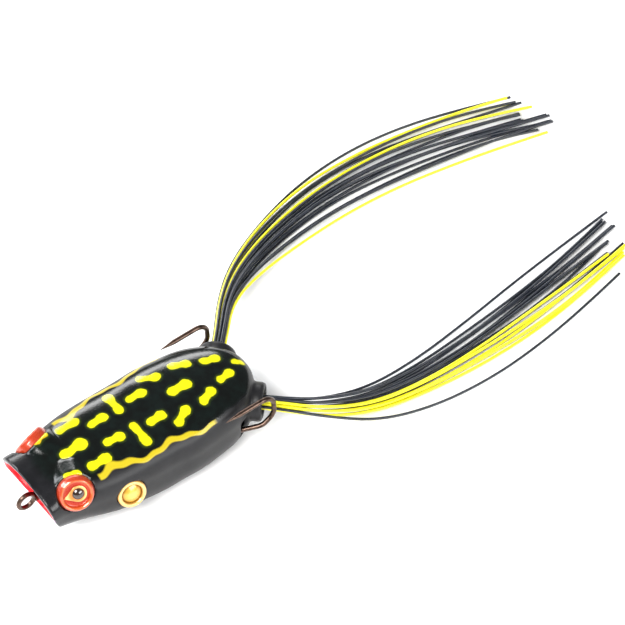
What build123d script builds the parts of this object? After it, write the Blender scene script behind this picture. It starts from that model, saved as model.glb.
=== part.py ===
from build123d import *
import math
import os

# Hollow soft-bodied popping frog.  +X is the nose, +Y the frog's left side, +Z up.
# The origin is under the middle of the frog without its leg strands, on the belly face.
# All lengths are in millimetres, all angles in degrees.

# Body, measured back from the middle of the mouth face
BODY_LENGTH = 63.5
MOUTH_X = 30.135
MOUTH_Z = 12.0
MOUTH_TILT = 10.0
CHIN_TILT = 22.0
UPPER_LIP_LEAD = 1.2
TAIL_BACK = BODY_LENGTH - UPPER_LIP_LEAD
WALL = 1.4
SECTION_POINTS = 28
UPPER_POWER = 2.8
LOWER_POWER = 3.6

# distance back, half width, top, bottom, height of the widest line
SECTIONS = (
    (-2.5, 10.9, 18.2, 6.6, 12.2),
    (0.0, 10.8, 18.5, 6.4, 12.3),
    (3.0, 10.7, 18.9, 5.6, 12.4),
    (7.0, 11.2, 19.3, 4.7, 12.5),
    (13.0, 12.5, 19.4, 3.1, 12.6),
    (19.0, 13.3, 19.5, 1.3, 12.5),
    (26.0, 13.6, 19.5, 0.1, 12.2),
    (35.0, 13.8, 19.6, -0.2, 12.0),
    (43.0, 13.7, 19.6, -0.1, 11.8),
    (49.0, 13.0, 19.4, 0.5, 11.6),
    (54.0, 11.6, 18.8, 1.4, 11.4),
    (58.0, 9.0, 18.1, 3.1, 11.3),
    (60.4, 6.4, 17.1, 5.2, 11.3),
    (61.8, 4.2, 15.8, 7.0, 11.3),
    (TAIL_BACK, 2.2, 14.2, 8.7, 11.3),
)
CAVITY_FRONT = 8.5
CAVITY_BACK = 60.4

# Mouth cup, an ellipsoid whose middle stands in front of the mouth face
CUP_LEAD = 1.5
CUP_RISE = 0.4
CUP_TILT = 16.0
CUP_DEPTH = 7.4
CUP_HALF_WIDTH = 9.9
CUP_HALF_HEIGHT = 5.3
NOSE_HOLE_RADIUS = 1.65

# Leg sockets
SOCKET_BACK = 61.0
SOCKET_SIDE = 9.5
SOCKET_Z = 10.0
SOCKET_SPLAY = 45.0
SOCKET_RADIUS = 4.8
SOCKET_LENGTH = 7.0
SOCKET_EDGE = 0.9
BORE_MOUTH_RADIUS = 3.7
BORE_NECK_RADIUS = 2.3
PIVOT_DEPTH = 4.0

# Hook wire
WIRE_RADIUS = 0.62
RING_RADIUS = 2.15
RING_WIRE_RADIUS = 0.6
RING_LEAD = 1.0
RING_Z = 9.9
LINE_HOLE_RADIUS = 1.65
NECK_OFFSET = 0.68
BRAZE_LENGTH = 7.4
BRAZE_WIDTH = 0.96
BRAZE_HEIGHT = 0.8
BRAZE_BACK = 5.1
TIE_BACK = 3.0
POINT_LENGTH = 4.0
BARB_BACK = 5.6
BARB_LENGTH = 2.2
# distance back from the mouth face, side, height; the corner radii follow
HOOK_ROUTE = (
    (1.1, NECK_OFFSET, RING_Z),
    (10.0, NECK_OFFSET, RING_Z),
    (21.0, 1.8, 4.4),
    (42.0, 3.6, 4.0),
    (52.0, 10.2, 6.4),
    (57.6, 13.5, 7.9),
    (61.0, 13.6, 10.4),
    (60.6, 13.5, 17.4),
    (51.0, 13.5, 17.1),
)
HOOK_RADII = (8.0, 12.0, 10.0, 12.0, 4.0, 3.4, 3.4)
SLOT_WIDTH = 2.4
SLOT_LENGTH = 12.0
SLOT_SHIFT = 0.42
SLOT_LOW = 4.6
SLOT_HIGH = 11.0

# Keel weight on the hook shanks
WEIGHT_BACK = 30.5
WEIGHT_LENGTH = 15.0
WEIGHT_WIDTH = 9.6
WEIGHT_LOW = 2.2
WEIGHT_HIGH = 6.4

# Eyes and ear discs: distance back, side, height, and the way they face
EYE_SEAT = (7.2, 8.5, 16.3)
EYE_FACING = (0.28, 0.84, 0.45)
EYE_RADIUS = 4.5
EYE_MOUNT_EDGE = 0.45
EYE_MOUNT_DEPTH = 5.0
EYE_MOUNT_FOOT = 6.4
EAR_SEAT = (20.0, 12.3, 10.4)
EAR_FACING = (0.17, 0.94, 0.30)
EAR_RADIUS = 3.65
BOSS_MARGIN = 1.2
EYE_RIM_HEIGHT = 2.35
EYE_DISH_HEIGHT = 1.5
EYE_DISH_RADIUS = 3.1
IRIS_RADIUS = 2.05
IRIS_TIP = 3.5
IRIS_SET_BACK = 0.5
IRIS_HEIGHT = 0.35
PUPIL_RADIUS = 1.45
PUPIL_HEIGHT = 0.95
EAR_RING_HEIGHT = 1.75
EAR_DOME_RADIUS = 2.55
EAR_DOME_EDGE = 1.1
EAR_DOME_HEIGHT = 1.9

# Leg strands: round silicone, packed in a hexagon and fanned out along one route a leg
STRAND_DIAMETER = 0.70
STRAND_PITCH = 0.74
PACK_RINGS = 2
PACK_TURN = 6.5
BAND_RADIUS = 2.15
BAND_BORE = 1.84
BAND_LENGTH = 1.8
# x, y, z of the bundle's middle, then how far it has spread sideways and upwards
LEFT_ROUTE = (
    (-25.2, 3.85, 10.0, 1.0, 1.0),
    (-33.3, 11.95, 10.0, 1.0, 1.0),
    (-43.5, 16.6, 5.6, 1.95, 1.0),
    (-55.5, 19.8, 2.2, 2.5, 0.9),
    (-70.0, 21.0, 1.45, 3.2, 0.7),
    (-86.5, 20.5, 1.2, 4.1, 0.5),
    (-103.0, 18.9, 1.0, 4.7, 0.4),
    (-120.0, 16.5, 0.9, 5.0, 0.33),
    (-133.5, 13.9, 0.85, 5.0, 0.3),
)
RIGHT_ROUTE = (
    (-25.2, -3.85, 10.0, 1.0, 1.0),
    (-33.3, -11.95, 10.0, 1.0, 1.0),
    (-42.8, -23.0, 7.0, 1.3, 1.0),
    (-54.0, -31.6, 3.4, 2.2, 0.9),
    (-68.0, -37.3, 1.8, 3.2, 0.8),
    (-83.5, -40.4, 1.45, 4.1, 0.65),
    (-99.5, -40.6, 1.25, 4.6, 0.5),
    (-115.0, -38.6, 1.05, 4.8, 0.4),
    (-130.7, -34.8, 0.95, 4.9, 0.35),
    (-142.6, -31.0, 0.85, 5.0, 0.3),
)
# how much further a strand reaches for each millimetre that it lies to the left, at the tips
LEFT_SLANT = -0.7
RIGHT_SLANT = 0.5
TIP_STAGGER = 3.0
TIP_TURN = 2.4
CORNER_SHARE = 0.45


def power(value, exponent):
    """Signed power, so that a superellipse keeps its quadrants."""
    return math.copysign(abs(value) ** exponent, value)


def body_section(back, half_width, top, bottom, widest):
    """One closed cross section of the frog, a superellipse that is fuller below."""
    points = []
    for step in range(SECTION_POINTS):
        angle = 2 * math.pi * step / SECTION_POINTS
        upper = math.sin(angle) >= 0
        exponent = 2 / (UPPER_POWER if upper else LOWER_POWER)
        height = top - widest if upper else widest - bottom
        side = half_width * power(math.cos(angle), exponent)
        rise = height * power(math.sin(angle), exponent)
        points.append((MOUTH_X - back, side, widest + rise))
    return make_face(Spline(*points, periodic=True))


def body_loft(inset):
    """The frog's outside, or its cavity when inset is the wall thickness."""
    faces = []
    for back, half_width, top, bottom, widest in SECTIONS:
        hollow = inset == 0 or CAVITY_FRONT - 2 < back <= CAVITY_BACK
        if hollow:
            section = (back, half_width - inset, top - inset, bottom + inset, widest)
            faces.append(body_section(*section))
    return loft(faces)


def facing_plane(seat, facing, side):
    """Plane of a round seat on one side of the head, its x axis towards the nose."""
    normal = Vector(facing[0], side * facing[1], facing[2]).normalized()
    back, across, height = seat
    forward = (Vector(1, 0, 0) - normal * normal.X).normalized()
    return Plane(origin=(MOUTH_X - back, side * across, height), x_dir=forward, z_dir=normal)


def socket_plane(side):
    """Mouth of one leg socket, its z axis pointing out along the leg."""
    splay = math.radians(SOCKET_SPLAY)
    outward = (-math.cos(splay), side * math.sin(splay), 0)
    return Plane(origin=(MOUTH_X - SOCKET_BACK, side * SOCKET_SIDE, SOCKET_Z), z_dir=outward)


def round_solid(profile):
    """Turn a profile of (radius, height) points about the z axis."""
    outline = Polyline(*[(radius, 0, height) for radius, height in profile], close=True)
    return revolve(make_face(outline), Axis.Z)


def make_body_shell():
    """Hollow body with the mouth cup, the two leg sockets, the seats and the hook's holes."""
    outside = body_loft(0)
    seats = []
    bosses = [Pos(MOUTH_X - CAVITY_FRONT / 2, 0, MOUTH_Z) * Box(CAVITY_FRONT, 40, 40)]
    additions = []
    holes = []
    for side in (1, -1):
        for seat, facing, radius in (
            (EYE_SEAT, EYE_FACING, EYE_RADIUS),
            (EAR_SEAT, EAR_FACING, EAR_RADIUS),
        ):
            plane = facing_plane(seat, facing, side)
            bosses.append(plane * Cylinder(radius + BOSS_MARGIN, 2 * WALL))
            seats.append(plane * Pos(0, 0, 5) * Cylinder(radius, 10))
        mount = Cone(EYE_MOUNT_FOOT, EYE_RADIUS + EYE_MOUNT_EDGE, EYE_MOUNT_DEPTH)
        eye_plane = facing_plane(EYE_SEAT, EYE_FACING, side)
        additions.append(eye_plane * Pos(0, 0, -EYE_MOUNT_DEPTH / 2) * mount)
        tube = Pos(0, 0, -SOCKET_LENGTH / 2) * Cylinder(SOCKET_RADIUS, SOCKET_LENGTH)
        tube = fillet(tube.edges().sort_by(Axis.Z)[-1], SOCKET_EDGE)
        additions.append(socket_plane(side) * tube)
        holes.append(socket_plane(side) * socket_bore())
        holes.append(hook_slot(side))
    cavity = body_loft(WALL) - bosses
    cup = scale(Sphere(1), by=(CUP_DEPTH, CUP_HALF_WIDTH, CUP_HALF_HEIGHT))
    cup_mouth = Pos(MOUTH_X, 0, MOUTH_Z + CUP_RISE) * Rot(0, CUP_TILT, 0)
    holes.append(cup_mouth * Pos(CUP_LEAD, 0, 0) * cup)
    nose_hole = Rot(0, 90, 0) * Cylinder(NOSE_HOLE_RADIUS, 10)
    holes.append(Pos(MOUTH_X - CAVITY_FRONT, 0, RING_Z) * nose_hole)
    for tilt in (MOUTH_TILT, CHIN_TILT):
        mouth_face = Pos(MOUTH_X, 0, MOUTH_Z) * Rot(0, tilt, 0)
        holes.append(mouth_face * Pos(10, 0, 0) * Box(20, 40, 40))
    holes.append(Pos(0, 0, -5) * Box(200, 100, 10))
    skin = outside - cavity
    return skin + additions - holes - seats


def socket_bore():
    """Waisted bore of a leg socket, narrowest where the leg pivots."""
    return round_solid((
        (0, -SOCKET_LENGTH - 3),
        (BORE_MOUTH_RADIUS, -SOCKET_LENGTH - 3),
        (BORE_MOUTH_RADIUS, -SOCKET_LENGTH - 0.5),
        (BORE_NECK_RADIUS, -PIVOT_DEPTH),
        (BORE_MOUTH_RADIUS, 0.01),
        (0, 0.01),
    ))


def hook_points(side):
    """The wire's route on one side of the frog, from the line tie to the start of the point."""
    return [Vector(MOUTH_X - back, side * across, height) for back, across, height in HOOK_ROUTE]


def hook_slot(side):
    """Upright slot in the flank where the wire leaves the cavity, tall enough for the hook to rise."""
    inner, outer = hook_points(side)[3:5]
    middle = (inner + outer) / 2 + (outer - inner) * SLOT_SHIFT
    turn = math.degrees(math.atan2(outer.Y - inner.Y, outer.X - inner.X))
    height = SLOT_HIGH - SLOT_LOW
    slot = Pos(middle.X, middle.Y, (SLOT_HIGH + SLOT_LOW) / 2) * Rot(0, 0, turn)
    return slot * Box(SLOT_LENGTH, SLOT_WIDTH, height)


def make_line_ring():
    """Ring for the line, its hole ground to a short round land."""
    half_land = math.sqrt(RING_WIRE_RADIUS**2 - (RING_RADIUS - LINE_HOLE_RADIUS) ** 2)
    low = (LINE_HOLE_RADIUS, 0, -half_land)
    high = (LINE_HOLE_RADIUS, 0, half_land)
    round_side = ThreePointArc(high, (RING_RADIUS + RING_WIRE_RADIUS, 0, 0), low)
    ring = revolve(make_face([*Line(low, high).edges(), *round_side.edges()]), Axis.Z)
    return Pos(MOUTH_X + RING_LEAD, 0, RING_Z) * Rot(90, 0, 0) * ring


def make_double_hook():
    """Line tie ring on a short stub, and the two brazed shanks with their hooks behind it."""
    hook = make_line_ring()
    for side in (1, -1):
        points = hook_points(side)
        path = FilletPolyline(*points, radius=list(HOOK_RADII))
        start = Plane(origin=path @ 0, z_dir=path % 0)
        hook += sweep(start * Circle(WIRE_RADIUS), path=path)
        forward = (points[-1] - points[-2]).normalized()
        tip = Plane(origin=points[-1], z_dir=forward)
        hook += tip * Pos(0, 0, POINT_LENGTH / 2) * Cone(WIRE_RADIUS, 0.06, POINT_LENGTH)
        barb_root = points[-1] + forward * (POINT_LENGTH - BARB_BACK)
        barb = Plane(origin=barb_root, z_dir=Vector(-forward.X, -forward.Y, -0.34))
        hook += barb * Pos(0, 0, BARB_LENGTH / 2) * Cone(WIRE_RADIUS * 0.75, 0.06, BARB_LENGTH)
    braze = Box(BRAZE_LENGTH, BRAZE_WIDTH, BRAZE_HEIGHT)
    hook += Pos(MOUTH_X - BRAZE_BACK, 0, RING_Z) * braze
    ahead = Pos(MOUTH_X - TIE_BACK + 5, 0, RING_Z) * Box(10, 10, 10)
    return hook & ahead, hook - ahead


def make_hook_weight(hook):
    """Keel weight cast round both shanks."""
    height = WEIGHT_HIGH - WEIGHT_LOW
    block = Box(WEIGHT_LENGTH, WEIGHT_WIDTH, height)
    block = fillet(block.edges(), height * 0.4)
    block = Pos(MOUTH_X - WEIGHT_BACK, 0, (WEIGHT_HIGH + WEIGHT_LOW) / 2) * block
    return block - hook


def make_eye_base(side):
    """Round moulded eye with a raised rim and a dished middle."""
    profile = (
        (0, 0),
        (EYE_RADIUS, 0),
        (EYE_RADIUS, EYE_DISH_HEIGHT - 0.3),
        (EYE_RADIUS - 0.35, EYE_RIM_HEIGHT - 0.3),
        (EYE_RADIUS - 0.8, EYE_RIM_HEIGHT),
        (EYE_RADIUS - 1.2, EYE_RIM_HEIGHT - 0.25),
        (EYE_DISH_RADIUS, EYE_DISH_HEIGHT),
        (0, EYE_DISH_HEIGHT),
    )
    return facing_plane(EYE_SEAT, EYE_FACING, side) * round_solid(profile)


def teardrop(radius, tip):
    """Flat teardrop: a disc with a point towards the nose."""
    contact = math.acos(radius / tip)
    shoulder = (radius * math.cos(contact), radius * math.sin(contact))
    point = Polygon((0, 0), (shoulder[0], -shoulder[1]), (tip, 0), shoulder, align=None)
    return Circle(radius) + point


def make_eye_iris(side):
    """Teardrop ring that lies in the dish and holds the pupil."""
    flat = teardrop(IRIS_RADIUS, IRIS_TIP) - Circle(PUPIL_RADIUS)
    ring = extrude(flat, amount=IRIS_HEIGHT)
    return facing_plane(EYE_SEAT, EYE_FACING, side) * Pos(-IRIS_SET_BACK, 0, EYE_DISH_HEIGHT) * ring


def domed_disc(radius, edge_height, crown_height):
    """Disc with a spherical top, standing on z = 0."""
    rise = crown_height - edge_height
    ball_radius = (radius**2 + rise**2) / (2 * rise)
    ball = Pos(0, 0, crown_height - ball_radius) * Sphere(ball_radius)
    return Pos(0, 0, crown_height / 2) * Cylinder(radius, crown_height) & ball


def make_eye_pupil(side):
    """Domed pupil in the iris."""
    dome = domed_disc(PUPIL_RADIUS, IRIS_HEIGHT, PUPIL_HEIGHT)
    return facing_plane(EYE_SEAT, EYE_FACING, side) * Pos(-IRIS_SET_BACK, 0, EYE_DISH_HEIGHT) * dome


def make_ear_ring(side):
    """Raised ring round the ear disc."""
    profile = (
        (EAR_DOME_RADIUS, 0),
        (EAR_RADIUS, 0),
        (EAR_RADIUS, EAR_RING_HEIGHT - 0.35),
        (EAR_RADIUS - 0.3, EAR_RING_HEIGHT),
        (EAR_DOME_RADIUS + 0.3, EAR_RING_HEIGHT),
        (EAR_DOME_RADIUS, EAR_RING_HEIGHT - 0.35),
    )
    return facing_plane(EAR_SEAT, EAR_FACING, side) * round_solid(profile)


def make_ear_dome(side):
    """Domed middle of the ear disc."""
    dome = domed_disc(EAR_DOME_RADIUS, EAR_DOME_EDGE, EAR_DOME_HEIGHT)
    return facing_plane(EAR_SEAT, EAR_FACING, side) * dome


def packed_offsets():
    """Sideways and upward place of every strand in the hexagonal bundle."""
    turn = math.radians(PACK_TURN)
    offsets = []
    for row in range(-PACK_RINGS, PACK_RINGS + 1):
        for column in range(-PACK_RINGS, PACK_RINGS + 1):
            if abs(row + column) <= PACK_RINGS:
                across = STRAND_PITCH * (column + row / 2)
                up = STRAND_PITCH * row * math.sqrt(3) / 2
                offsets.append((
                    across * math.cos(turn) - up * math.sin(turn),
                    across * math.sin(turn) + up * math.cos(turn),
                ))
    return offsets


def strand_points(route, slant, offset, number):
    """One strand's corners: the leg's route, moved sideways, up and along by the strand's share."""
    across, up = offset
    points = []
    for index, (x, y, z, spread, rise) in enumerate(route):
        before = route[max(index - 1, 0)]
        after = route[min(index + 1, len(route) - 1)]
        heading = Vector(after[0] - before[0], after[1] - before[1], 0)
        if index <= 1:
            heading = Vector(route[1][0] - route[0][0], route[1][1] - route[0][1], 0)
        heading = heading.normalized()
        sideways = heading.cross(Vector(0, 0, 1)) * across * spread
        along = heading * across * spread * slant * index / (len(route) - 1)
        points.append(Vector(x, y, z) + sideways + along + Vector(0, 0, up * rise))
    last_run = (points[-1] - points[-2]).normalized()
    points[-1] += last_run * TIP_STAGGER * math.sin(TIP_TURN * number)
    return points


def make_strand(points):
    """Round strand: straight runs joined by the largest even arcs that they allow."""
    radii = []
    for before, corner, after in zip(points, points[1:], points[2:]):
        arriving = corner - before
        leaving = after - corner
        half_turn = math.radians(arriving.get_angle(leaving)) / 2
        radii.append(CORNER_SHARE * min(arriving.length, leaving.length) / math.tan(half_turn))
    path = FilletPolyline(*points, radius=radii)
    start = Plane(origin=points[0], z_dir=points[1] - points[0])
    strand = sweep(start * Circle(STRAND_DIAMETER / 2), path=path)
    return strand, path.length, radii


def make_band(route):
    """Rubber ring that holds the bundle together at the inner end of the leg."""
    inner = Vector(*route[0][:3])
    outward = Vector(*route[1][:3]) - inner
    ring = Cylinder(BAND_RADIUS, BAND_LENGTH) - Cylinder(BAND_BORE, BAND_LENGTH)
    return Plane(origin=inner, z_dir=outward) * Pos(0, 0, BAND_LENGTH / 2) * ring


os.makedirs("parts", exist_ok=True)

line_tie_ring, double_hook = make_double_hook()
pieces = {
    "body_shell": make_body_shell(),
    "line_tie_ring": line_tie_ring,
    "double_hook": double_hook,
    "hook_weight": make_hook_weight(double_hook),
}
for side_name, side, route, slant in (
    ("left", 1, LEFT_ROUTE, LEFT_SLANT),
    ("right", -1, RIGHT_ROUTE, RIGHT_SLANT),
):
    pieces[f"eye_base_{side_name}"] = make_eye_base(side)
    pieces[f"eye_iris_{side_name}"] = make_eye_iris(side)
    pieces[f"eye_pupil_{side_name}"] = make_eye_pupil(side)
    pieces[f"ear_ring_{side_name}"] = make_ear_ring(side)
    pieces[f"ear_dome_{side_name}"] = make_ear_dome(side)
    smallest_radius = math.inf
    for number, offset in enumerate(packed_offsets(), 1):
        strand, length, radii = make_strand(strand_points(route, slant, offset, number))
        smallest_radius = min(smallest_radius, *radii)
        section = math.pi * STRAND_DIAMETER**2 / 4
        pieces[f"strand_{side_name}_{number:02d}"] = strand
        print(
            f"strand_{side_name}_{number:02d}: length {length:.1f}, radii",
            [round(radius, 1) for radius in radii],
            f"volume over section times length {strand.volume / (section * length):.4f}",
        )
    pieces[f"leg_band_{side_name}"] = make_band(route)
    print(f"{side_name} leg: smallest radius {smallest_radius:.1f}")

for name, piece in pieces.items():
    export_step(piece, f"parts/{name}.step")
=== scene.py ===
import math

import bpy
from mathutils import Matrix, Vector
from mathutils.bvhtree import BVHTree


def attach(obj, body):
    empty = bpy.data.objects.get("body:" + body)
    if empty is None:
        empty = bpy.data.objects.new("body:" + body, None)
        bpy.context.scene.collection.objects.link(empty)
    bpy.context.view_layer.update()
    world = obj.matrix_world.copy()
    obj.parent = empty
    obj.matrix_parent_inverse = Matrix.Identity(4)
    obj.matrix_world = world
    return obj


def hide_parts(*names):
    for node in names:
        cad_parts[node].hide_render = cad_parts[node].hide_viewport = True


# Hollow popping frog: +X is the nose, +Y the frog's left side, +Z up.
# Sizes and places are in millimetres unless a name or comment says otherwise.
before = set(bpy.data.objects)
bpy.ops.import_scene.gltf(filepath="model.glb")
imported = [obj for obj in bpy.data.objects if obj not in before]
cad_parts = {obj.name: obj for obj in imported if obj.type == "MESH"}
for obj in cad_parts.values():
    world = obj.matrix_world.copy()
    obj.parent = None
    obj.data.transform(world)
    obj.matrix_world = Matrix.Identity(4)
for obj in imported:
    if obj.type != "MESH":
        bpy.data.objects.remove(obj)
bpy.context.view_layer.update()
MM = 0.001
SIDES = (("left", 1), ("right", -1))
MOUTH_X = 30.135

# ---- sizes repeated from the model ---------------------------------------------------------------
EYE_SEAT = (7.2, 8.5, 16.3)
EYE_FACING = (0.28, 0.84, 0.45)
EAR_SEAT = (20.0, 12.3, 10.4)
EAR_FACING = (0.17, 0.94, 0.30)
CUP_MIDDLE = (1.5, 0.0, 0.4)
CUP_TILT = 16.0
CUP_SIZE = (7.4, 9.9, 5.3)
MOUTH_Z = 12.0

# leg strands: the routes of the model's strands
STRAND_DIAMETER = 0.70
STRAND_PITCH = 0.74
PACK_RINGS = 2
PACK_TURN = 6.5
TIP_STAGGER = 3.0
TIP_TURN = 2.4
CORNER_SHARE = 0.45
NURBS_ORDER = 3
# x, y, z of the bundle's middle, then how far it has spread sideways and upwards
ROUTES = {
    "left": (
        (-25.2, 3.85, 10.0, 1.0, 1.0),
        (-33.3, 11.95, 10.0, 1.0, 1.0),
        (-43.5, 16.6, 5.6, 1.95, 1.0),
        (-55.5, 19.8, 2.2, 2.5, 0.9),
        (-70.0, 21.0, 1.45, 3.2, 0.7),
        (-86.5, 20.5, 1.2, 4.1, 0.5),
        (-103.0, 18.9, 1.0, 4.7, 0.4),
        (-120.0, 16.5, 0.9, 5.0, 0.33),
        (-133.5, 13.9, 0.85, 5.0, 0.3),
    ),
    "right": (
        (-25.2, -3.85, 10.0, 1.0, 1.0),
        (-33.3, -11.95, 10.0, 1.0, 1.0),
        (-42.8, -23.0, 7.0, 1.3, 1.0),
        (-54.0, -31.6, 3.4, 2.2, 0.9),
        (-68.0, -37.3, 1.8, 3.2, 0.8),
        (-83.5, -40.4, 1.45, 4.1, 0.65),
        (-99.5, -40.6, 1.25, 4.6, 0.5),
        (-115.0, -38.6, 1.05, 4.8, 0.4),
        (-130.7, -34.8, 0.95, 4.9, 0.35),
        (-142.6, -31.0, 0.85, 5.0, 0.3),
    ),
}
# how much further a strand reaches for each millimetre that it lies to the left, at the tips
SLANT = {"left": -0.7, "right": 0.5}
YELLOW = {"left": (3, 7, 11, 15, 16, 19), "right": (4, 12, 13, 14)}
# how far, in millimetres, any strand drifts sideways towards its tip
DRIFT = 0.75
# strands that bow away from the bundle: how far, in millimetres, to the left of their route
STRAYS = {("left", 12): 4.2, ("left", 8): -1.5, ("right", 12): 3.4, ("right", 16): 3.0, ("right", 7): 1.0}

# ---- node helpers --------------------------------------------------------------------------------


def new_material(name):
    """A material with its node tree and its Principled shader."""
    material = bpy.data.materials.new(name)
    material.use_nodes = True
    return material, material.node_tree, material.node_tree.nodes["Principled BSDF"]


def feed(tree, socket, value):
    """Link a socket to the value's socket, or set the value on it."""
    if isinstance(value, bpy.types.NodeSocket):
        tree.links.new(value, socket)
    else:
        socket.default_value = value


def maths(tree, operation, *values):
    node = tree.nodes.new("ShaderNodeMath")
    node.operation = operation
    for socket, value in zip(node.inputs, values):
        feed(tree, socket, value)
    return node.outputs[0]


def vector_maths(tree, operation, *values):
    node = tree.nodes.new("ShaderNodeVectorMath")
    node.operation = operation
    for socket, value in zip(node.inputs, values):
        feed(tree, socket, value)
    return node.outputs["Value" if operation in ("LENGTH", "DOT_PRODUCT") else "Vector"]


def ramp(tree, value, low, high, start=0.0, end=1.0):
    """A smooth step from start to end as the value goes from low to high."""
    node = tree.nodes.new("ShaderNodeMapRange")
    node.interpolation_type = "SMOOTHSTEP"
    for name, number in (
        ("Value", value), ("From Min", low), ("From Max", high), ("To Min", start), ("To Max", end),
    ):
        feed(tree, node.inputs[name], number)
    return node.outputs["Result"]


def mix_colour(tree, share, first, second):
    node = tree.nodes.new("ShaderNodeMix")
    node.data_type = "RGBA"
    feed(tree, node.inputs[0], share)
    feed(tree, node.inputs[6], first)
    feed(tree, node.inputs[7], second)
    return node.outputs[2]


def place(tree):
    """The point's place in millimetres, in the object's own frame."""
    coordinates = tree.nodes.new("ShaderNodeTexCoord")
    return vector_maths(tree, "MULTIPLY", coordinates.outputs["Object"], (1 / MM, 1 / MM, 1 / MM))


def split(tree, vector):
    node = tree.nodes.new("ShaderNodeSeparateXYZ")
    feed(tree, node.inputs[0], vector)
    return node.outputs


def noise(tree, where, scale, detail=3.0, output="Fac"):
    node = tree.nodes.new("ShaderNodeTexNoise")
    feed(tree, node.inputs["Vector"], where)
    node.inputs["Scale"].default_value = scale
    node.inputs["Detail"].default_value = detail
    return node.outputs[output]


def bump(tree, shader, height, strength, distance):
    node = tree.nodes.new("ShaderNodeBump")
    feed(tree, node.inputs["Height"], height)
    node.inputs["Strength"].default_value = strength
    node.inputs["Distance"].default_value = distance * MM
    tree.links.new(node.outputs[0], shader.inputs["Normal"])


def colour(red, green, blue):
    return (red, green, blue, 1.0)


# ---- seats of the eyes and ears ------------------------------------------------------------------


def seat_frame(seat, facing, side):
    """Middle and outward direction of a round seat."""
    normal = Vector((facing[0], side * facing[1], facing[2])).normalized()
    return Vector((MOUTH_X - seat[0], side * seat[1], seat[2])), normal


def from_axis(tree, where, middle, normal):
    """Distance from a seat's axis."""
    return vector_maths(
        tree, "LENGTH",
        vector_maths(tree, "CROSS_PRODUCT", vector_maths(tree, "SUBTRACT", where, middle), normal),
    )


# ---- body skin -----------------------------------------------------------------------------------
SKIN_VOXEL = 0.3
SKIN_SMOOTHING = 14
# middles of a spot's two lobes, each as distance back and side, then the lobes' radii and the neck's
PAIRED_SPOTS = (
    (6.6, 6.2, 9.2, 7.0, 0.85, 1.0, 0.85),
    (13.4, 6.5, 17.4, 6.6, 1.15, 1.45, 0.95),
    (20.2, 3.2, 23.5, 3.5, 1.1, 1.4, 0.9),
    (28.0, 3.0, 28.1, 8.0, 1.2, 1.35, 0.95),
    (31.9, 4.3, 35.0, 4.1, 1.1, 1.4, 0.9),
    (37.4, 8.0, 40.6, 6.1, 1.15, 1.35, 0.9),
    (45.7, 6.4, 48.7, 5.1, 1.2, 1.3, 0.95),
    (52.7, 3.4, 55.6, 2.8, 1.15, 1.3, 0.9),
)
MIDDLE_SPOTS = (
    (10.2, 0.2, 14.9, -0.1, 1.35, 1.75, 1.15),
    (41.2, 0.0, 44.9, 0.1, 1.3, 1.6, 1.0),
    (59.2, 0.3, 60.6, 1.0, 1.0, 0.9, 0.8),
)
LINE_HALF_WIDTH = 0.36
LINE_START = 13.2
LINE_END = 46.0
# the line falls steadily to the rear and swings up and down in a long wave and a short one
LINE_HEIGHT = 18.75
LINE_FALL = 0.037
LONG_WAVE = 15.3
LONG_WAVE_START = 15.2
LONG_SWING = 0.36
SHORT_WAVE = 5.3
SHORT_SWING = 0.13


def shown_copy(name, node, modifiers):
    """A new mesh piece from a CAD node with modifiers applied to the copy."""
    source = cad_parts[node]
    piece = bpy.data.objects.new(name, source.data.copy())
    bpy.context.scene.collection.objects.link(piece)
    for kind, settings in modifiers:
        modifier = piece.modifiers.new(kind.lower(), kind)
        for key, value in settings.items():
            setattr(modifier, key, value)
    bpy.context.view_layer.update()
    evaluated = piece.evaluated_get(bpy.context.evaluated_depsgraph_get())
    mesh = bpy.data.meshes.new_from_object(evaluated)
    piece.modifiers.clear()
    piece.data = mesh
    mesh.materials.clear()
    mesh.shade_smooth()
    return piece


def drop_on(tree, back, side):
    """Point of the skin straight above a place on the plan, in millimetres."""
    hit = tree.ray_cast(Vector((MOUTH_X - back, side, 60)) * MM, Vector((0, 0, -1)))[0]
    return hit / MM


def spot_group():
    """Node group: signed distance to a spot with a round lobe at each end and a drawn-in neck."""
    group = bpy.data.node_groups.new("painted_spot", "ShaderNodeTree")
    for name, kind in (
        ("Place", "NodeSocketVector"), ("End A", "NodeSocketVector"), ("End B", "NodeSocketVector"),
        ("Radius A", "NodeSocketFloat"), ("Radius B", "NodeSocketFloat"), ("Neck", "NodeSocketFloat"),
        ("So far", "NodeSocketFloat"),
    ):
        group.interface.new_socket(name, in_out="INPUT", socket_type=kind)
    group.interface.new_socket("Distance", in_out="OUTPUT", socket_type="NodeSocketFloat")
    given = group.nodes.new("NodeGroupInput").outputs
    axis = vector_maths(group, "SUBTRACT", given["End B"], given["End A"])
    away = vector_maths(group, "SUBTRACT", given["Place"], given["End A"])
    share = maths(group, "DIVIDE", vector_maths(group, "DOT_PRODUCT", away, axis),
                  vector_maths(group, "DOT_PRODUCT", axis, axis))
    share = maths(group, "MINIMUM", maths(group, "MAXIMUM", share, 0.0), 1.0)
    nearest = vector_maths(group, "MULTIPLY", axis, share)
    gap = vector_maths(group, "LENGTH", vector_maths(group, "SUBTRACT", away, nearest))
    front = ramp(group, share, 0.0, 0.5, given["Radius A"], given["Neck"])
    radius = ramp(group, share, 0.5, 1.0, front, given["Radius B"])
    spot = maths(group, "SUBTRACT", gap, radius)
    leave = group.nodes.new("NodeGroupOutput")
    group.links.new(maths(group, "MINIMUM", spot, given["So far"]), leave.inputs[0])
    return group


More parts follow.
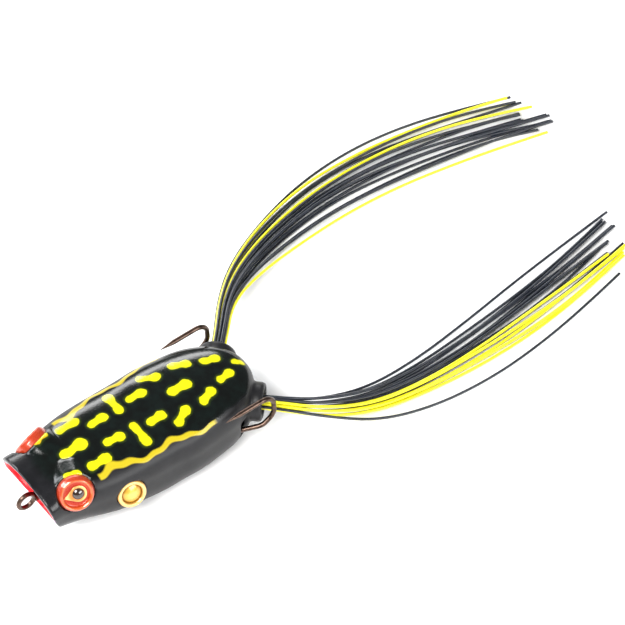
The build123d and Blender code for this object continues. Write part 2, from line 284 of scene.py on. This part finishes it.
def spots_distance(tree, where, surface):
    """Signed distance to the nearest painted spot."""
    group = spot_group()
    mirrored = [(a, -b, c, -d, *sizes) for a, b, c, d, *sizes in PAIRED_SPOTS]
    distance = 99.0
    for back_a, side_a, back_b, side_b, radius_a, radius_b, neck in (*MIDDLE_SPOTS, *PAIRED_SPOTS, *mirrored):
        node = tree.nodes.new("ShaderNodeGroup")
        node.node_tree = group
        for name, value in (
            ("Place", where),
            ("End A", drop_on(surface, back_a, side_a)), ("End B", drop_on(surface, back_b, side_b)),
            ("Radius A", radius_a), ("Radius B", radius_b), ("Neck", neck), ("So far", distance),
        ):
            feed(tree, node.inputs[name], value)
        distance = node.outputs[0]
    return distance


def flank_line(tree, x, z):
    """Height above the wavy line along the flank, and the line's mask."""
    back = maths(tree, "SUBTRACT", MOUTH_X, x)
    long_turn = maths(tree, "MULTIPLY", maths(tree, "SUBTRACT", back, LONG_WAVE_START), math.tau / LONG_WAVE)
    short_turn = maths(tree, "MULTIPLY", back, math.tau / SHORT_WAVE)
    long_swing = maths(tree, "MULTIPLY", maths(tree, "SINE", long_turn), LONG_SWING)
    short_swing = maths(tree, "MULTIPLY", maths(tree, "SINE", short_turn), SHORT_SWING)
    level = maths(tree, "MULTIPLY_ADD", back, -LINE_FALL, LINE_HEIGHT)
    height = maths(tree, "ADD", maths(tree, "ADD", long_swing, short_swing), level)
    above = maths(tree, "SUBTRACT", z, height)
    mask = ramp(tree, maths(tree, "ABSOLUTE", above), LINE_HALF_WIDTH - 0.12, LINE_HALF_WIDTH + 0.1, 1.0, 0.0)
    inside = maths(
        tree, "MULTIPLY",
        ramp(tree, back, LINE_START, LINE_START + 0.6), ramp(tree, back, LINE_END, LINE_END - 1.5),
    )
    return above, maths(tree, "MULTIPLY", mask, inside)


def skin_material(surface):
    """Glossy black back with yellow spots, satin charcoal flanks, red mouth cup, with painted shade on the
    far head spots and a painted highlight on the lip.
    """
    material, tree, shader = new_material("frog_skin")
    where = place(tree)
    x, y, z = split(tree, where)
    wobble = vector_maths(tree, "SUBTRACT", noise(tree, where, 0.55, 2.0, "Color"), (0.5, 0.5, 0.5))
    wobble = vector_maths(tree, "MULTIPLY", wobble, (0.9, 0.9, 0.9))
    wobbly = vector_maths(tree, "ADD", where, wobble)
    distance = spots_distance(tree, wobbly, surface)
    above, line = flank_line(tree, x, z)
    mottle = noise(tree, where, 0.35, 4.0)
    back_black = mix_colour(
        tree, ramp(tree, mottle, 0.35, 0.7), colour(0.0022, 0.0030, 0.0026), colour(0.0032, 0.0060, 0.0052))
    flank_grey = mix_colour(
        tree, ramp(tree, mottle, 0.3, 0.75), colour(0.0060, 0.0060, 0.0070), colour(0.0095, 0.0095, 0.0110))
    paint = mix_colour(tree, ramp(tree, above, -0.5, 0.3), flank_grey, back_black)
    halo = mix_colour(tree, ramp(tree, distance, 0.05, 0.8, 0.55, 0.0), paint, colour(0.03, 0.05, 0.004))
    yellow = mix_colour(
        tree, ramp(tree, mottle, 0.3, 0.7), colour(0.70, 0.64, 0.004), colour(0.76, 0.70, 0.006))
    shaded = mix_colour(tree, ramp(tree, distance, -0.6, 0.0), yellow, colour(0.45, 0.43, 0.004))
    back_x = maths(tree, "SUBTRACT", MOUTH_X, x)
    # painted shade: yellow spots on the far side of the head, forward of about 11 mm behind the mouth, turn
    # darker orange
    far_brow_painted_shade = maths(tree, "MULTIPLY", ramp(tree, back_x, 11.0, 8.5), ramp(tree, y, -4.0, -5.0, 0.0, 0.75))
    spots_with_painted_shade = mix_colour(tree, far_brow_painted_shade, shaded, colour(0.50, 0.28, 0.008))
    spotted = mix_colour(tree, ramp(tree, distance, 0.12, -0.12), halo, spots_with_painted_shade)
    lined = mix_colour(tree, line, spotted, colour(0.42, 0.33, 0.012))
    # red inside the mouth cup, with a thin lilac painted highlight along the lip
    offset = vector_maths(tree, "SUBTRACT", where, (MOUTH_X, 0.0, MOUTH_Z + CUP_MIDDLE[2]))
    turn = math.radians(CUP_TILT)
    along = vector_maths(tree, "DOT_PRODUCT", offset, (math.cos(turn), 0.0, -math.sin(turn)))
    up = vector_maths(tree, "DOT_PRODUCT", offset, (math.sin(turn), 0.0, math.cos(turn)))
    parts = (
        maths(tree, "DIVIDE", maths(tree, "SUBTRACT", along, CUP_MIDDLE[0]), CUP_SIZE[0]),
        maths(tree, "DIVIDE", y, CUP_SIZE[1]),
        maths(tree, "DIVIDE", up, CUP_SIZE[2]),
    )
    squares = [maths(tree, "POWER", maths(tree, "ABSOLUTE", part), 2.0) for part in parts]
    cup = maths(tree, "ADD", maths(tree, "ADD", squares[0], squares[1]), squares[2])
    front = ramp(tree, back_x, 9.0, 8.4)
    # painted highlight: a thin lilac band on the mouth's rim stands in for the light the glossy lip catches
    lip_painted_highlight = maths(tree, "MULTIPLY", ramp(tree, cup, 1.22, 1.14), ramp(tree, back_x, 3.0, 2.0))
    with_lip_highlight = mix_colour(tree, lip_painted_highlight, lined, colour(0.20, 0.11, 0.21))
    red = mix_colour(
        tree, ramp(tree, mottle, 0.3, 0.7), colour(0.62, 0.006, 0.012), colour(0.72, 0.012, 0.02))
    finished = mix_colour(tree, maths(tree, "MULTIPLY", ramp(tree, cup, 1.13, 1.08), front), with_lip_highlight, red)
    tree.links.new(finished, shader.inputs["Base Color"])
    gloss = ramp(tree, above, -0.9, 0.5, 0.42, 0.13)
    cheek = ramp(tree, back_x, 13.0, 7.0, 0.0, 1.0)
    cheek_gloss = maths(tree, "MULTIPLY", cheek, ramp(tree, above, 0.5, -0.9, 0.0, 0.2))
    gloss = maths(tree, "SUBTRACT", gloss, cheek_gloss)
    gloss = maths(tree, "ADD", gloss, maths(tree, "MULTIPLY", mottle, 0.05))
    tree.links.new(gloss, shader.inputs["Roughness"])
    shader.inputs["Specular IOR Level"].default_value = 0.32
    fine_grain = maths(tree, "MULTIPLY", noise(tree, where, 9.0, 2.0), 0.3)
    grain = maths(tree, "ADD", noise(tree, where, 2.2, 3.0), fine_grain)
    bump(tree, shader, grain, 0.35, 0.05)
    return material


def make_skin():
    """The soft moulded body, with every edge of the model rounded as in a dipped moulding."""
    skin = shown_copy("frog_body_skin", "body_shell", (
        ("REMESH", {"mode": "VOXEL", "voxel_size": SKIN_VOXEL * MM}),
        ("SMOOTH", {"factor": 0.5, "iterations": SKIN_SMOOTHING}),
    ))
    surface = BVHTree.FromObject(skin, bpy.context.evaluated_depsgraph_get())
    skin.data.materials.append(skin_material(surface))
    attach(skin, "body")
    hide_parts("body_shell")


make_skin()

# ---- eyes and ears -------------------------------------------------------------------------------
TRIM_VOXEL = 0.075
TRIM_SMOOTHING = 7


def eye_material(name, seat, facing, side, stops, roughness, coat, flakes=0.0):
    """Colours in rings about a seat's axis: stops are (radius, colour)."""
    material, tree, shader = new_material(name)
    where = place(tree)
    middle, normal = seat_frame(seat, facing, side)
    radius = from_axis(tree, where, middle, normal)
    shade = stops[0][1]
    for (inner, _), (outer, tint) in zip(stops, stops[1:]):
        shade = mix_colour(tree, ramp(tree, radius, inner, outer), shade, tint)
    specks = noise(tree, where, 5.0, 4.0)
    shade = mix_colour(tree, ramp(tree, specks, 0.45, 0.75, 0.0, 0.25), shade, stops[-1][1])
    tree.links.new(shade, shader.inputs["Base Color"])
    tree.links.new(maths(tree, "MULTIPLY_ADD", specks, 0.12, roughness), shader.inputs["Roughness"])
    shader.inputs["Metallic"].default_value = flakes
    shader.inputs["Coat Weight"].default_value = coat
    shader.inputs["Coat Roughness"].default_value = 0.04
    bump(tree, shader, specks, 0.2, 0.03)
    return material


def soften(name, node, body, material):
    """A rounded, smooth copy of a small moulded CAD piece."""
    piece = shown_copy(name, node, (
        ("REMESH", {"mode": "VOXEL", "voxel_size": TRIM_VOXEL * MM}),
        ("SMOOTH", {"factor": 0.5, "iterations": TRIM_SMOOTHING}),
    ))
    piece.data.materials.append(material)
    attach(piece, body)
    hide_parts(node)
    return piece


for side_name, side in SIDES:
    soften(f"eye_{side_name}_moulding", f"eye_base_{side_name}", "body", eye_material(
        f"eye_red_{side_name}", EYE_SEAT, EYE_FACING, side,
        ((1.8, colour(0.30, 0.012, 0.004)), (3.0, colour(0.42, 0.03, 0.006)),
         (3.6, colour(0.62, 0.11, 0.02)), (4.1, colour(0.42, 0.035, 0.008))), 0.22, 0.8, 0.25,
    ))
    soften(f"eye_{side_name}_gold_teardrop", f"eye_iris_{side_name}", "body", eye_material(
        f"eye_gold_{side_name}", EYE_SEAT, EYE_FACING, side,
        ((0.4, colour(0.30, 0.07, 0.015)), (1.5, colour(0.60, 0.24, 0.05)), (2.4, colour(0.95, 0.62, 0.22))),
        0.25, 0.8, 0.6,
    ))
    soften(f"eye_{side_name}_dark_pupil", f"eye_pupil_{side_name}", "body", eye_material(
        f"eye_dark_{side_name}", EYE_SEAT, EYE_FACING, side,
        ((0.2, colour(0.018, 0.008, 0.004)), (1.2, colour(0.012, 0.006, 0.003)),
         (1.8, colour(0.09, 0.03, 0.01))),
        0.12, 1.0,
    ))
    # painted shade: the gold ring darkens at its inner edge, next to the dome, for the shade in the recess
    # between them
    soften(f"ear_{side_name}_gold_ring", f"ear_ring_{side_name}", "body", eye_material(
        f"ear_gold_{side_name}", EAR_SEAT, EAR_FACING, side,
        ((2.5, colour(0.42, 0.19, 0.02)), (2.9, colour(0.86, 0.58, 0.20)), (3.3, colour(0.86, 0.56, 0.19)),
         (3.65, colour(0.50, 0.24, 0.04))), 0.32, 0.5, 0.45,
    ))
    # painted shade: the amber dome darkens towards its edge for the shade in the recess round it
    soften(f"ear_{side_name}_amber_dome", f"ear_dome_{side_name}", "body", eye_material(
        f"ear_amber_{side_name}", EAR_SEAT, EAR_FACING, side,
        ((0.6, colour(0.80, 0.52, 0.10)), (1.7, colour(0.62, 0.36, 0.04)), (2.5, colour(0.30, 0.13, 0.01))),
        0.26, 0.7, 0.4,
    ))

# ---- hook, weight and leg bands ------------------------------------------------------------------


def metal_material(name, dark, light, roughness, scale):
    """Plated wire: uneven tone along the metal and fine draw marks."""
    material, tree, shader = new_material(name)
    where = place(tree)
    cloud = noise(tree, where, scale, 5.0)
    tree.links.new(mix_colour(tree, ramp(tree, cloud, 0.3, 0.7), dark, light), shader.inputs["Base Color"])
    tree.links.new(maths(tree, "MULTIPLY_ADD", cloud, 0.15, roughness), shader.inputs["Roughness"])
    shader.inputs["Metallic"].default_value = 1.0
    bump(tree, shader, noise(tree, where, scale * 6, 3.0), 0.25, 0.02)
    return material


def rubber_material(name, dark, light, roughness, scale, glow=0.0, glow_colour=(1.0, 1.0, 1.0)):
    """Soft rubber or silicone: slight tone changes, satin, with faint light inside."""
    material, tree, shader = new_material(name)
    where = place(tree)
    cloud = noise(tree, where, scale, 4.0)
    tree.links.new(mix_colour(tree, ramp(tree, cloud, 0.3, 0.7), dark, light), shader.inputs["Base Color"])
    tree.links.new(maths(tree, "MULTIPLY_ADD", cloud, 0.12, roughness), shader.inputs["Roughness"])
    shader.inputs["Subsurface Weight"].default_value = glow
    shader.inputs["Subsurface Radius"].default_value = glow_colour
    shader.inputs["Subsurface Scale"].default_value = 0.6 * MM
    bump(tree, shader, noise(tree, where, scale * 8, 2.0), 0.2, 0.02)
    return material


def dress(node, material):
    """Give a carried-over CAD node its material and rounded shading."""
    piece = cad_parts[node]
    piece.data.materials.clear()
    piece.data.materials.append(material)
    for polygon in piece.data.polygons:
        polygon.use_smooth = True
    edges = piece.modifiers.new("edge_split", "EDGE_SPLIT")
    edges.split_angle = math.radians(35)


bronze = metal_material(
    "hook_wire", colour(0.055, 0.036, 0.028), colour(0.13, 0.085, 0.066), 0.22, 1.2)
for part in ("line_tie_ring", "double_hook"):
    dress(part, bronze)
dress("hook_weight", metal_material(
    "keel_metal", colour(0.16, 0.155, 0.15), colour(0.30, 0.29, 0.28), 0.5, 0.8))
band_rubber = rubber_material("band_rubber", colour(0.012, 0.012, 0.012), colour(0.03, 0.03, 0.03), 0.55, 0.9)
for side_name, _ in SIDES:
    dress(f"leg_band_{side_name}", band_rubber)

# ---- leg strands ---------------------------------------------------------------------------------


def packed_offsets():
    """Sideways and upward place of every strand in the hexagonal bundle."""
    turn = math.radians(PACK_TURN)
    offsets = []
    for row in range(-PACK_RINGS, PACK_RINGS + 1):
        for column in range(-PACK_RINGS, PACK_RINGS + 1):
            if abs(row + column) <= PACK_RINGS:
                across = STRAND_PITCH * (column + row / 2)
                up = STRAND_PITCH * row * math.sqrt(3) / 2
                offsets.append((
                    across * math.cos(turn) - up * math.sin(turn),
                    across * math.sin(turn) + up * math.cos(turn),
                ))
    return offsets


def strand_points(route, slant, offset, number):
    """One strand's corners: the leg's route, moved sideways, up and along by the strand's share."""
    across, up = offset
    points = []
    for index, (x, y, z, spread, rise) in enumerate(route):
        before = route[max(index - 1, 0)]
        after = route[min(index + 1, len(route) - 1)]
        heading = Vector((after[0] - before[0], after[1] - before[1], 0))
        if index <= 1:
            heading = Vector((route[1][0] - route[0][0], route[1][1] - route[0][1], 0))
        heading = heading.normalized()
        sideways = heading.cross(Vector((0, 0, 1))) * across * spread
        along = heading * across * spread * slant * index / (len(route) - 1)
        points.append(Vector((x, y, z)) + sideways + along + Vector((0, 0, up * rise)))
    last_run = (points[-1] - points[-2]).normalized()
    points[-1] += last_run * TIP_STAGGER * math.sin(TIP_TURN * number)
    return points


def strand_length(points):
    """Length of the strand: its runs, less what each rounded corner saves."""
    length = sum((after - before).length for before, after in zip(points, points[1:]))
    for before, corner, after in zip(points, points[1:], points[2:]):
        arriving = corner - before
        leaving = after - corner
        tangent = CORNER_SHARE * min(arriving.length, leaving.length)
        half_turn = arriving.angle(leaving) / 2
        length -= 2 * tangent * (1 - half_turn / math.tan(half_turn))
    return length


def loosened(side_name, number, points):
    """Let one strand drift from its neighbours as loose silicone does."""
    drifted = []
    last = len(points) - 1
    for index, point in enumerate(points):
        if index <= 2:
            drifted.append(point)
            continue
        heading = (points[min(index + 1, last)] - points[index - 1]).normalized()
        sideways = heading.cross(Vector((0, 0, 1))).normalized()
        share = (index - 2) / (last - 2)
        drift = DRIFT * share * math.sin(1.9 * number + 1.3 * index)
        stray = STRAYS.get((side_name, number), 0.0) * math.sin(math.pi * min(1.0, share * 1.1))
        drifted.append(point + sideways * (drift + stray))
    return drifted


def make_strand(side_name, number, offset, material):
    """One silicone strand: a smooth curve on the route's own corners."""
    name = f"leg_{side_name}_silicone_{number:02d}"
    curve = bpy.data.curves.new(name, "CURVE")
    curve.dimensions = "3D"
    curve.bevel_depth = STRAND_DIAMETER / 2 * MM
    curve.bevel_resolution = 4
    curve.resolution_u = 12
    curve.use_fill_caps = True
    route = strand_points(ROUTES[side_name], SLANT[side_name], offset, number)
    points = loosened(side_name, number, route)
    spline = curve.splines.new("NURBS")
    spline.points.add(len(points) - 1)
    for control, point in zip(spline.points, points):
        control.co = (*(point * MM), 1)
    spline.order_u = NURBS_ORDER
    spline.use_endpoint_u = True
    strand = bpy.data.objects.new(name, curve)
    bpy.context.scene.collection.objects.link(strand)
    curve.materials.append(material)
    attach(strand, f"leg_{side_name}")
    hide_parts(f"strand_{side_name}_{number:02d}")
    strand_length(route) * MM


silicone = {
    False: rubber_material(
        "silicone_black", colour(0.006, 0.008, 0.013), colour(0.014, 0.018, 0.027), 0.30, 0.5),
    True: rubber_material(
        "silicone_yellow", colour(0.72, 0.66, 0.006), colour(0.84, 0.80, 0.02), 0.32, 0.5,
        0.25, (1.0, 0.9, 0.2)),
}
for side_name, _ in SIDES:
    for number, offset in enumerate(packed_offsets(), 1):
        make_strand(side_name, number, offset, silicone[number in YELLOW[side_name]])

# ---- camera, floor and light ---------------------------------------------------------------------
CAMERA_TARGET = Vector((-56.3, -5.74, 10.0)) * MM
CAMERA_DISTANCE = 1200 * MM
CAMERA_TURN = math.radians(53.63)
CAMERA_ELEVATION = math.radians(51.31)
CAMERA_LENS = 286.6
FLOOR_HALF = 3.0
# name, place in metres, width, height, power, colour
LIGHTS = (
    ("key_softbox", (0.55, 0.25, 0.75), 0.45, 0.45, 14.0, (1.0, 0.99, 0.97)),
    ("front_softbox", (0.45, -0.55, 0.45), 0.35, 0.5, 7.0, (0.93, 0.96, 1.0)),
    ("back_strip", (-0.25, -0.75, 0.35), 0.7, 0.18, 5.0, (1.0, 1.0, 1.0)),
    ("side_softbox", (-0.2, 0.75, 0.4), 0.6, 0.35, 7.0, (1.0, 1.0, 1.0)),
)


def direction(turn, elevation):
    level = math.cos(elevation)
    return Vector((level * math.cos(turn), level * math.sin(turn), math.sin(elevation)))


def make_camera():
    data = bpy.data.cameras.new("camera")
    data.lens = CAMERA_LENS
    data.sensor_width = 36
    data.clip_start = 0.05
    data.clip_end = 10
    camera = bpy.data.objects.new("camera", data)
    outward = direction(CAMERA_TURN, CAMERA_ELEVATION)
    camera.location = CAMERA_TARGET + outward * CAMERA_DISTANCE
    camera.rotation_euler = (-outward).to_track_quat("-Z", "Y").to_euler()
    bpy.context.scene.collection.objects.link(camera)
    bpy.context.scene.camera = camera


def make_floor():
    mesh = bpy.data.meshes.new("floor")
    corners = [(-FLOOR_HALF, -FLOOR_HALF, 0), (FLOOR_HALF, -FLOOR_HALF, 0),
               (FLOOR_HALF, FLOOR_HALF, 0), (-FLOOR_HALF, FLOOR_HALF, 0)]
    mesh.from_pydata(corners, [], [(0, 1, 2, 3)])
    floor = bpy.data.objects.new("floor", mesh)
    bpy.context.scene.collection.objects.link(floor)
    material, _, shader = new_material("floor_paper")
    shader.inputs["Base Color"].default_value = colour(0.92, 0.92, 0.92)
    shader.inputs["Roughness"].default_value = 0.95
    mesh.materials.append(material)


def make_light(name, location, width, height, power, tint):
    data = bpy.data.lights.new(name, "AREA")
    data.shape = "RECTANGLE"
    data.size = width
    data.size_y = height
    data.energy = power
    data.color = tint
    lamp = bpy.data.objects.new(name, data)
    lamp.location = location
    lamp.rotation_euler = (-Vector(location)).to_track_quat("-Z", "Y").to_euler()
    bpy.context.scene.collection.objects.link(lamp)


make_camera()
make_floor()
for light in LIGHTS:
    make_light(*light)
world = bpy.data.worlds.new("studio")
world.use_nodes = True
world.node_tree.nodes["Background"].inputs["Color"].default_value = colour(0.95, 0.97, 1.0)
world.node_tree.nodes["Background"].inputs["Strength"].default_value = 0.25
bpy.context.scene.world = world
bpy.context.scene.view_settings.view_transform = "Standard"
